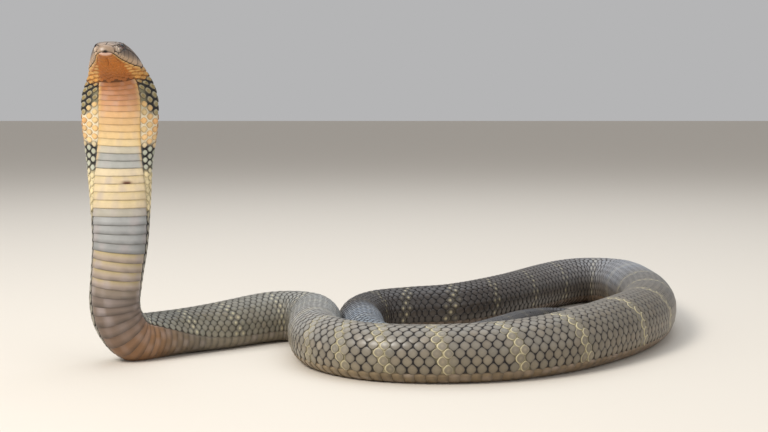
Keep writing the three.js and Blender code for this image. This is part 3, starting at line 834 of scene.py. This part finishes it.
def scale_tone(u, rho, foot, s, down, luck, tint):
    """Colour of every point of every back scale, with a row for each scale and a column for each point."""
    place = hood_place(s, down)
    tone = mix(colour_curve(BACK_COLOURS_AND_SHEEN, place), colour_curve(FLANK_COLOURS, place), smooth(down, 0.55, 1))
    vivid = (0.015 + 0.07 * between(place, 101, 129)) * tint
    tone = tone * (1 + 0.06 * luck)[..., None] * (1 + vivid[..., None] * np.array((1, 0, -1)))
    # Painted shading: each scale is lighter in its middle and darker towards its edge, as if light fell on a
    # dome.
    tone = tone * (1.12 - 0.30 * rho[:, None] ** 2)
    near = band_nearness(place, down)
    rimmed = curve_of(BAND_RIM, place) * near
    spotted = curve_of(BAND_SPOT, place) * near
    on_hood = between(place, 64, 100) + 0.6 * between(place, 132, 156)
    # The pale ring round a hood scale is its own marking. Its extra paleness on the front side, towards the
    # head, is a painted highlight.
    ring = smooth(rho, 0.4, 0.75) * (0.4 + 0.6 * smooth(-u, -0.5, 0.4))
    tone = mix(tone, PALE_RING, on_hood * ring * 0.5)
    light = between(place, 101, 129) + between(place, 159, 198)
    darkness = curve_of(RIM_DARKNESS, place) * (1 - 0.85 * np.clip(light + rimmed, 0, 1))
    rim = smooth(rho, 0.84, 1.0) * (1 - foot) * darkness + foot * (0.3 + 0.7 * darkness)
    tone = mix(tone, DARK_RIM, np.clip(rim, 0, 1))
    margin = smooth(rho, 0.68, 0.9) * (0.25 + 0.75 * smooth(-u, -0.4, 0.4))
    tone = mix(tone, CREAM, np.clip(rimmed * margin, 0, 1) * (1 - 0.7 * foot))
    dot = (1 - smooth(rho, 0.18, 0.5)) * smooth(u, -0.4, 0.2)
    return mix(tone, CREAM, np.clip(spotted * dot, 0, 1))


# Shields of the head

def mirrored(corners):
    return tuple((s, -a) for s, a in corners)


def crossing(corners):
    """The whole outline of a shield on the middle line, from its right half."""
    return corners + mirrored(corner for corner in reversed(corners) if corner[1] != 0)


# Outlines of (s, a) on the animal's right. Each is made on both sides, or once where it crosses the middle.
CROWN_SHIELDS = {
    "internasal": ((2.6, 0), (2.4, 38), (7.2, 41), (7.8, 0)),
    "prefrontal": ((7.8, 0), (7.2, 41), (10.2, 43), (14, 40.5), (14.6, 18), (13.8, 0)),
    "supraocular": ((14.6, 18), (14, 40.5), (16.4, 44), (23.6, 43), (27, 40), (27.2, 17)),
    "parietal": ((29.2, 0), (27.2, 17), (27, 40), (34, 38.5), (42.8, 37), (44, 20), (44.9, 0)),
    "occipital": ((44.9, 0), (44, 20), (42.8, 37), (47, 36), (51.6, 28), (54, 12), (54, 0)),
}
CROSSING_SHIELDS = {
    "rostral": crossing(((2.6, 0), (2.4, 38), (1.8, 62), (0.9, 89.5), (-1.4, 89.5))),
    "frontal": crossing(((13.8, 0), (14.6, 18), (27.2, 17), (29.2, 0))),
}
CHEEK_SHIELDS = {
    "nasal_front": ((2.4, 38), (1.8, 62), (1.5, 73), (5.2, 75), (5.2, 40)),
    "nasal_rear": ((5.2, 40), (5.2, 75), (10, 71), (10.2, 43), (7.2, 41)),
    "preocular": ((10.2, 43), (10, 71), (16.6, 66), (17, 52), (16.4, 44), (14, 40.5)),
    "postocular_top": ((23.6, 43), (27, 40), (29, 39.6), (29, 48), (23.2, 49)),
    "postocular_middle": ((23.2, 49), (29, 48), (29, 57), (23.2, 56)),
    "postocular_low": ((23.2, 56), (29, 57), (29, 66), (22, 65)),
    "temporal_front_top": ((29, 39.6), (34, 38.5), (42.8, 37), (42.5, 52), (29, 54)),
    "temporal_front_low": ((29, 54), (42.5, 52), (42.5, 68), (29, 66)),
    "temporal_rear_top": ((42.8, 37), (47, 36), (52, 35), (52, 50), (42.5, 52)),
    "temporal_rear_low": ((42.5, 52), (52, 50), (51.5, 70), (42.5, 68)),
}
UPPER_LIP = {
    "ends": (1.2, 5.2, 10, 17, 25.4, 33, 41.4, 50),
    "inner": (73, 75, 71, 66, 65, 67, 68, 71),
    "edge": 89.6,
}

# The same on the lower jaw, as outlines of (s, degrees from the middle of the belly)
JAW_SHIELDS = {
    "chin_front": ((8, 0), (6.2, 24), (5.4, 66), (9.6, 67), (15, 60), (17, 30), (17, 0)),
    "chin_rear": ((17, 0), (17, 30), (15, 60), (19.5, 67), (25, 58), (27.5, 30), (27, 5)),
    "first_lower_lip": (
        (3.8, 0), (2.2, 44), (1.2, 66), (0.6, 89.5), (5.2, 89.5), (5.4, 66), (6.2, 24), (8, 0),
    ),
}
MENTAL = crossing(((3.8, 0), (2, 44), (1, 66), (0.4, 89.5), (-1.4, 89.5)))
LOWER_LIP = {
    "ends": (5.4, 9.6, 14.2, 19.4, 25.4, 32.4, 40.4, 49),
    "inner": (66, 67, 67, 67, 66, 66, 66, 67),
    "edge": 89.6,
}

SEAM = 0.42  # width of the bare skin between two shields
SHIELD_EDGE_STEP = 0.6
# Share of the way from a shield's middle to its edge, and the height there
SHIELD_PROFILE = (
    (1.0, -0.85), (1.0, -0.05), (0.95, 0.16), (0.86, 0.25), (0.7, 0.3), (0.45, 0.34), (0.2, 0.36),
)
HEAD_MIDDLE = (middle_at(26.0) - FOOTPRINT_MIDDLE) * MM


def clear_of(spot, reach, flat):
    """An outline pushed out of the round opening of an eye or a nostril."""
    hub = flatten(spot["s"], spot["a"])
    away = flat - hub
    length = np.linalg.norm(away, axis=1, keepdims=True)
    return np.where(length < reach, hub + away / np.maximum(length, 1e-3) * reach, flat)


def outline_of(corners, below):
    """A shield's outline on the unrolled head, in short steps, with eased corners and its seam taken off."""
    corners = np.array(corners, float)
    steps = []
    for start, end in zip(corners, np.roll(corners, -1, axis=0)):
        ends = np.array((start, end))
        ends = flatten(ends[:, 0], 180 - ends[:, 1] if below else ends[:, 1])
        count = max(2, int(np.linalg.norm(ends[1] - ends[0]) / SHIELD_EDGE_STEP))
        steps.append(start + (end - start) * (np.arange(count) / count)[:, None])
    path = np.concatenate(steps)
    angle = path[:, 1]
    a = np.where(angle < 0, -1.0, 1.0) * (180 - np.abs(angle)) if below else angle
    flat = flatten(path[:, 0], hang(path[:, 0], a), below)
    for _ in range(3):
        flat = 0.25 * np.roll(flat, 1, axis=0) + 0.5 * flat + 0.25 * np.roll(flat, -1, axis=0)
    ahead = np.roll(flat, -1, axis=0) - np.roll(flat, 1, axis=0)
    area = (flat[:, 0] * np.roll(flat[:, 1], -1) - np.roll(flat[:, 0], -1) * flat[:, 1]).sum()
    inward = unit(np.stack((-ahead[:, 1], ahead[:, 0]), -1)) * math.copysign(1, area)
    flat = flat + inward * SEAM / 2
    if not below:
        flat = clear_of(EYE, EYE["opening"], flat)
        flat = clear_of(NOSTRIL, NOSTRIL["radius"], flat)
    return flat


def shield(corners, below, luck):
    """Points, faces, tone and map places of one shield."""
    flat = outline_of(corners, below)
    count = len(flat)
    hub = flat.mean(0)
    shares, rise = np.array(SHIELD_PROFILE).T
    rings = hub + (flat - hub)[None] * shares[:, None, None]
    place = np.vstack((rings.reshape(-1, 2), hub))
    s, a = unflatten(place, below)
    lift = np.append(np.repeat(rise, count), rise[-1])
    share = np.append(np.repeat(shares, count), 0)
    points = surface(s, a, lift + relief(s, a))
    j = np.arange(count)
    faces = grid_faces(len(shares), count, wrap=True)
    last = (len(shares) - 1) * count
    fan = np.stack((last + j, last + (j + 1) % count, np.full(count, len(place) - 1)), -1)
    faces = np.concatenate((faces, fan))
    tone = shield_tone(s, a, share, lift, luck)
    hub_s, hub_a = unflatten(hub, below)
    root = skin_uv(hub_s, hub_a + 180)
    uv = root + (place - hub) / 2 * UV_PATCH
    return points, outward(points, faces, HEAD_MIDDLE), tone, uv


def outward(points, faces, middle):
    """The same faces, turned so that they look away from a place inside."""
    corner = points[faces]
    normal = np.cross(corner[:, 1] - corner[:, 0], corner[:, 2] - corner[:, 0])
    if (normal * (corner.mean(1) - middle)).sum() < 0:
        return faces[:, ::-1]
    return faces


HEAD_TOP = srgb(116, 98, 80)
HEAD_SNOUT = srgb(146, 122, 100)
HEAD_CHEEK = srgb(98, 80, 66)
LIP_PALE = srgb(190, 160, 130)
JAW_EDGE = srgb(216, 168, 102)
JAW_MIDDLE = srgb(178, 108, 44)
CHIN_RIM = srgb(226, 190, 172)
EYE_SHADE = srgb(58, 44, 38)
NOSTRIL_PALE = srgb(210, 194, 174)


def head_colour(s, head_a):
    """Colour of the head's shields before their seams."""
    a = lay(s, np.abs(head_a))
    top = mix(HEAD_SNOUT, HEAD_TOP, smooth(s, 5, 18))
    side = mix(top, HEAD_CHEEK, smooth(a, 44, 54) * smooth(s, 8, 16))
    upper = mix(side, LIP_PALE, smooth(a, 70, 80) * 0.9)
    upper = mix(upper, NOSTRIL_PALE, (1 - smooth(distance_from(NOSTRIL, s, head_a), 1.6, 4.2)) * 0.55)
    upper = mix(upper, EYE_SHADE, (1 - smooth(distance_from(EYE, s, head_a), 4.2, 8)) * 0.6)
    lower = mix(JAW_EDGE, JAW_MIDDLE, smooth(a, 96, 116))
    lower = mix(lower, CHIN_RIM, (1 - smooth(s, -0.7, 0.8)) * 0.8)
    return mix(upper, lower, smooth(a, 89, 91))


def shield_tone(s, a, share, lift, luck):
    """Colour of one shield, dark at its seam."""
    tone = head_colour(s, a) * (1 + 0.06 * luck)
    on_jaw = smooth(lay(s, np.abs(a)), 89, 91)
    edge = smooth(share, 0.84, 1.0) * (0.62 - 0.4 * on_jaw)
    tone = mix(tone, tone * 0.25, edge)
    # Painted shade in the tongue's notch.
    tone = mix(tone, OPENING_SHADE, smooth(tongue_notch(s, a), 0.35, 0.7))
    return mix(tone, tone * 0.3, np.where(lift < -0.5, 1.0, 0.0))


def lip_row(row):
    """Outlines of the shields along one lip."""
    ends, inner, edge = row["ends"], row["inner"], row["edge"]
    return [((start, upper), (end, rear), (end - 0.6, edge), (start - 0.4, edge))
            for start, end, upper, rear in zip(ends, ends[1:], inner, inner[1:])]


def join(parts):
    """One set of points, faces, tones and map places from many."""
    starts = np.cumsum([0] + [len(part[0]) for part in parts])
    points, faces, tones, places = zip(*parts)
    faces = [face + start for face, start in zip(faces, starts)]
    return [np.concatenate(group) for group in (points, faces, tones, places)]


def head_shields():
    """The shields of the upper head and of the lower jaw, as two pieces."""
    rng = np.random.default_rng(SEED + 3)
    above = list(CROWN_SHIELDS.values()) + list(CHEEK_SHIELDS.values()) + lip_row(UPPER_LIP)
    under = list(JAW_SHIELDS.values()) + lip_row(LOWER_LIP)
    crown = [shield(c, False, rng.normal()) for row in above for c in (row, mirrored(row))]
    crown += [shield(c, False, rng.normal()) for c in CROSSING_SHIELDS.values()]
    jaw = [shield(c, True, rng.normal()) for row in under for c in (row, mirrored(row))]
    jaw.append(shield(MENTAL, True, 0))
    make_mesh("shields_upper_head", *join(crown), MATERIALS["shield"], "head_shields")
    make_mesh("shields_lower_jaw", *join(jaw), MATERIALS["shield"], "throat")


# Throat scales, between the chin shields and the first belly scute

THROAT_PITCH = 6.6
THROAT_ROWS = 4  # on each side of the middle one
THROAT_START = 28
THROAT_ROW_LAG = 0.9  # how much nearer to the snout each row starts than the one inside it
THROAT_TOP = 142.0  # angle of the upper edge of the throat scales


def throat_scales():
    """Small flat scales between the chin shields and the first belly scute."""
    rng = np.random.default_rng(SEED + 5)
    places = []
    for row in range(-THROAT_ROWS, THROAT_ROWS + 1):
        s = np.arange(THROAT_START, HEAD_END + 6, THROAT_PITCH)
        s = s + 0.5 * THROAT_PITCH * (abs(row) % 2) - THROAT_ROW_LAG * abs(row)
        s = s[s < HEAD_END + 2]
        width = 2 * (half_round(s) - arc_at(s, hang(s, THROAT_TOP))) / (2 * THROAT_ROWS + 1)
        arc = half_round(s) - row * width
        luck = rng.normal(0, 1, (2, len(s)))
        places.append(np.column_stack((s, arc, np.full(len(s), THROAT_PITCH), width, np.ones(len(s)), *luck)))
    places = np.concatenate(places)
    places = places[places[:, 0] > head_edge(180) - 5]
    make_scales("scales_throat", places, "throat", flat=True)


# Eyes

EYE_TURNS = 56
EYE_RINGS = 40
PUPIL_REACH, IRIS_REACH = 31.0, 60.0  # degrees from the middle of the eye's front
CORNEA_RISE, CORNEA_REACH = 0.05, 34.0
GAZE_FORWARD = np.array((0.0, -0.6, 0.0))
PUPIL_BLACK = srgb(6, 5, 5)
IRIS_BROWN = srgb(96, 44, 25)
IRIS_EDGE = srgb(38, 21, 15)
IRIS_PALE = srgb(128, 88, 52)  # a thin ring round the pupil
EYE_DARK = srgb(16, 11, 10)


def eye_tone(degrees):
    """Colour of the eye at each ring, with streaks round the iris."""
    rng = np.random.default_rng(SEED + 9)
    streak = 1 + 0.16 * rng.normal(0, 1, EYE_TURNS)
    iris = mix(IRIS_BROWN * streak[:, None], IRIS_EDGE, smooth(degrees, 44, IRIS_REACH))
    iris = mix(iris, IRIS_PALE, bump(degrees, PUPIL_REACH + 2.5, 2.2) * 0.6)
    tone = mix(PUPIL_BLACK, iris, smooth(degrees, PUPIL_REACH - 0.4, PUPIL_REACH + 0.4))
    return mix(tone, EYE_DARK, smooth(degrees, IRIS_REACH - 0.4, IRIS_REACH + 0.4))


def eye(name, node, side):
    """A glossy ball with a round pupil and a brown iris, looking out and a little forward."""
    spot = (EYE["s"], EYE["a"] * side)
    centre = surface(*spot, -EYE["sunk"])
    gaze = unit(unit(surface(*spot, 5.0) - centre) + GAZE_FORWARD)
    across = unit(np.cross(gaze, UP))
    over = np.cross(across, gaze)
    edges = (PUPIL_REACH - 0.5, PUPIL_REACH + 0.5, IRIS_REACH - 0.5, IRIS_REACH + 0.5)
    polar = np.linspace(0, 180, EYE_RINGS + 1)[1:-1]
    polar = np.sort(np.concatenate((polar, edges, (0.05, 179.95))))
    turn = np.arange(EYE_TURNS) * 360 / EYE_TURNS
    p, q = (np.radians(x) for x in np.meshgrid(polar, turn, indexing="ij"))
    cornea = 1 + CORNEA_RISE * bump(np.degrees(p), 0, CORNEA_REACH)
    ball = (gaze * np.cos(p)[..., None] + across * (np.sin(p) * np.cos(q))[..., None]
            + over * (np.sin(p) * np.sin(q))[..., None]) * cornea[..., None]
    points = (centre + ball * EYE["radius"] * MM).reshape(-1, 3)
    faces = outward(points, grid_faces(len(polar), EYE_TURNS, wrap=True), centre)
    tone = eye_tone(np.degrees(p)).reshape(-1, 3)
    uv = 0.5 + 0.45 * np.stack((ball @ across, ball @ over), -1).reshape(-1, 2)
    piece = make_mesh(name, points, faces, tone, uv, MATERIALS["eye"], "eye")
    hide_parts(node)


# Belly scutes

SCUTE_SPLITS = 40
# Share of the way along a scute, and the height there
SCUTE_PROFILE = ((0.0, -0.5), (0.12, -0.1), (0.55, 0.3), (0.86, 0.62), (0.97, 0.6), (1.0, 0.42), (1.0, -0.6))
SCUTE_OVERLAP = 0.12  # share of a scute that lies under the one in front


def belly_scutes(name, length_from, length_to, slot):
    """The wide scutes of one length of the belly."""
    phase_low, phase_high = np.interp((length_from, length_to), PHASE_S, PHASE)
    k = np.arange(math.ceil(phase_low), math.ceil(phase_high))
    rng = np.random.default_rng(SEED + 7 + int(length_from))
    luck = rng.normal(0, 1, (len(k), 3))
    v = np.linspace(-1, 1, SCUTE_SPLITS + 1)
    along, rise = np.array(SCUTE_PROFILE).T
    # The middle of a scute's rear edge reaches further back than its ends, most of all on the throat.
    bow = (0.10 + 0.16 * (1 - smooth(k, *np.interp((70, 120), PHASE_S, PHASE))))[:, None] * (1 - v**2)
    phase = k[:, None, None] - SCUTE_OVERLAP + (along * (1 + SCUTE_OVERLAP))[:, None] + bow[:, None, :]
    s = np.interp(phase, PHASE, PHASE_S)
    a = 180 - v * (belly_half_angle(s) - 0.5) * (1 - 0.02 * (1 - along))[:, None]
    size = np.minimum(1, curve_of(PITCH, s) / FULL_PITCH)
    at_side = smooth(np.abs(v), 0.93, 1.0)
    lift = rise[:, None] * size * (1 - 0.5 * at_side) - 0.9 * at_side
    points = surface(s, (a + 180) % 360 - 180, lift)
    tone = scute_tone(s, v, along, luck, k)
    first = np.arange(len(k))[:, None, None] * (len(along) * len(v))
    faces = (first + grid_faces(len(along), len(v))).reshape(-1, 3)
    root = s[:, :1, SCUTE_SPLITS // 2] / BODY_LENGTH
    uv = np.empty(s.shape + (2,))
    uv[..., 0] = a / 360 * 0.9 + 0.05
    uv[..., 1] = (root + along * UV_PATCH)[..., None]
    return make_mesh(name, points.reshape(-1, 3), faces, tone.reshape(-1, 3), uv.reshape(-1, 2),
                     MATERIALS["scute"], slot)


BROWN_MARK = {"s": 173.0, "across": -0.26, "reach": 0.15, "colour": srgb(88, 44, 18)}
TWO_TONE_FRONT = srgb(206, 184, 120)
TWO_TONE_REAR = srgb(178, 160, 150)
THROAT_PINK = srgb(206, 150, 124)
HOOD_MARGIN = srgb(226, 184, 112)
CLOUD_GREY = srgb(172, 160, 158)


def ripple(v, rng, count, waves):
    """Soft uneven values from -1 to 1 across each of many scutes."""
    total = np.zeros((count, len(v)))
    for wave in waves:
        phase = rng.uniform(0, 2 * math.pi, (count, 1))
        total += np.sin(v * wave + phase) * rng.uniform(0.3, 1, (count, 1))
    return total / len(waves)


def scute_tone(s, v, along, luck, k):
    """Colour of every point of the belly scutes: for each scute, along it and across it."""
    rng = np.random.default_rng(SEED + 20 + int(k[0]))
    start = s[:, 2, len(v) // 2][:, None, None]
    along = along[:, None]
    tone = colour_curve(BELLY_COLOURS_AND_SHADE, start) * (1 + 0.05 * luck[:, :1, None, None])
    two_tone = smooth(start, 236, 246) - smooth(start, 274, 284) + 0.5 * between(start, 160, 196)
    front = 1 - smooth(along, 0.35, 0.6)
    tone = mix(tone, TWO_TONE_FRONT, two_tone * front * 0.6)
    tone = mix(tone, TWO_TONE_REAR, two_tone * (1 - front) * 0.6)
    pink = between(start, 70, 96, 10) * smooth(along, 0.3, 0.6)
    tone = mix(tone, THROAT_PINK, pink * (1 - 0.4 * np.abs(v)) * 0.4)
    tone = mix(tone, HOOD_MARGIN, smooth(np.abs(v), 0.76, 0.98) * between(start, 60, 150, 12) * 0.75)
    clouds = ripple(v, rng, len(k), (4, 7, 11))[:, None, :]
    tone = tone * (1 + 0.12 * clouds)[..., None]
    cloudy = 0.5 + 0.5 * between(start, 156, 300)
    tone = mix(tone, CLOUD_GREY, np.clip(cloudy * clouds, 0, 0.5))
    dark = 0.35 + 0.35 * smooth(start, 198, 212) + 0.3 * between(start, 134, 156)
    dark = dark * (0.75 + 0.45 * ripple(v, rng, len(k), (5, 9, 16))[:, None, :])
    # The dark line at each scute's rear edge is its own marking. From about 200 on, it is widened by a
    # painted shadow under the edge.
    shaded = 0.1 * smooth(start, 198, 206) + 0.14 * smooth(start, 206, 290)
    line = smooth(along, 0.84 - shaded, 0.96) * np.clip(dark, 0, 1)
    tone = mix(tone, tone * 0.18, line)
    # Painted shade on the front of each scute, where it lies under the scute in front.
    tone = mix(tone, tone * 0.3, (1 - smooth(along, 0.0, 0.2)) * 0.45)
    off_mark = np.abs(s[:, -2, len(v) // 2] - BROWN_MARK["s"])
    if off_mark.min() < 8:
        marked = off_mark.argmin()
        spot = bump(v, BROWN_MARK["across"], BROWN_MARK["reach"]) * smooth(along, 0.65, 0.85)
        tone[marked] = mix(tone[marked], BROWN_MARK["colour"], np.clip(spot * 1.3, 0, 1))
    return tone


skin = body_skin()
FLESH = [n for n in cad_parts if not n.startswith("eye_")]
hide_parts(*FLESH)
head_shields()
throat_scales()
eye("eye_ball_left", "eye_left", -1)
eye("eye_ball_right", "eye_right", 1)

COAT = (
    ("hood", 17, 200, "hood_skin"), ("neck", 200, 400, "neck_skin"), ("forebody", 400, 790, "body_skin"),
    ("midbody_near", 790, 1120, "body_skin"), ("midbody_far", 1120, 1560, "body_skin"),
    ("hindbody", 1560, 2060, "body_skin"), ("tail", 2060, BODY_LENGTH - 4, "tail_skin"),
)
for region, low, high, slot in COAT:
    back_scales("scales_" + region, low, high, slot)
    belly_scutes("scutes_" + region, max(low, HEAD_END), high, slot)


# Stage, light and camera

FLOOR_REACH = 30.0
FLOOR_DROP = 0.0003  # keeps the floor from touching the belly's flats
FOCAL_PIXELS = 1312
PHOTO_WIDTH = 768
CAMERA_PLACE = np.array((0.0, -1250.0, 261.0))
CAMERA_TILT = 4.62  # degrees below level


def floor():
    mesh = bpy.data.meshes.new("floor")
    corners = [(x * FLOOR_REACH, y * FLOOR_REACH, 0) for x, y in ((-1, -1), (1, -1), (1, 1), (-1, 1))]
    mesh.from_pydata(corners, [], [(0, 1, 2, 3)])
    material = bpy.data.materials.new("floor")
    material.use_nodes = True
    shader = material.node_tree.nodes["Principled BSDF"]
    shader.inputs["Base Color"].default_value = (0.70, 0.64, 0.56, 1)
    shader.inputs["Roughness"].default_value = 0.9
    mesh.materials.append(material)
    piece = place_object("floor", mesh)
    piece.location.z = -FLOOR_DROP


def area_light(name, place, aim, size, power, colour):
    light = bpy.data.lights.new(name, "AREA")
    light.size = size
    light.energy = power
    light.color = colour
    lamp = place_object(name, light)
    lamp.location = place
    lamp.rotation_euler = (Vector(aim) - Vector(place)).to_track_quat("-Z", "Y").to_euler()


def camera():
    """The photo's view: low, a little above the hood's middle, looking slightly down."""
    data = bpy.data.cameras.new("camera")
    data.sensor_width = 36
    data.lens = FOCAL_PIXELS / PHOTO_WIDTH * data.sensor_width
    piece = place_object("camera", data)
    piece.location = (CAMERA_PLACE - FOOTPRINT_MIDDLE) * MM
    piece.rotation_euler = (math.radians(90 - CAMERA_TILT), 0, 0)
    bpy.context.scene.camera = piece


def surroundings(colour, strength):
    """An even pale light from all around."""
    world = bpy.data.worlds.new("world")
    bpy.context.scene.world = world
    world.use_nodes = True
    background = world.node_tree.nodes["Background"]
    background.inputs["Color"].default_value = (*colour, 1)
    background.inputs["Strength"].default_value = strength


bpy.context.scene.view_settings.view_transform = "Standard"
floor()
area_light("key", (-1.5, -1.5, 2.0), (0, 0, 0.05), 0.9, 58, (1.0, 0.97, 0.92))
area_light("fill", (1.8, -1.4, 1.2), (0, 0, 0.1), 2.0, 12, (0.92, 0.96, 1.0))
area_light("sky", (0, 0.8, 2.6), (0, 0, 0), 3.0, 42, (0.85, 0.92, 1.0))
surroundings((0.84, 0.84, 0.85), 0.55)
camera()
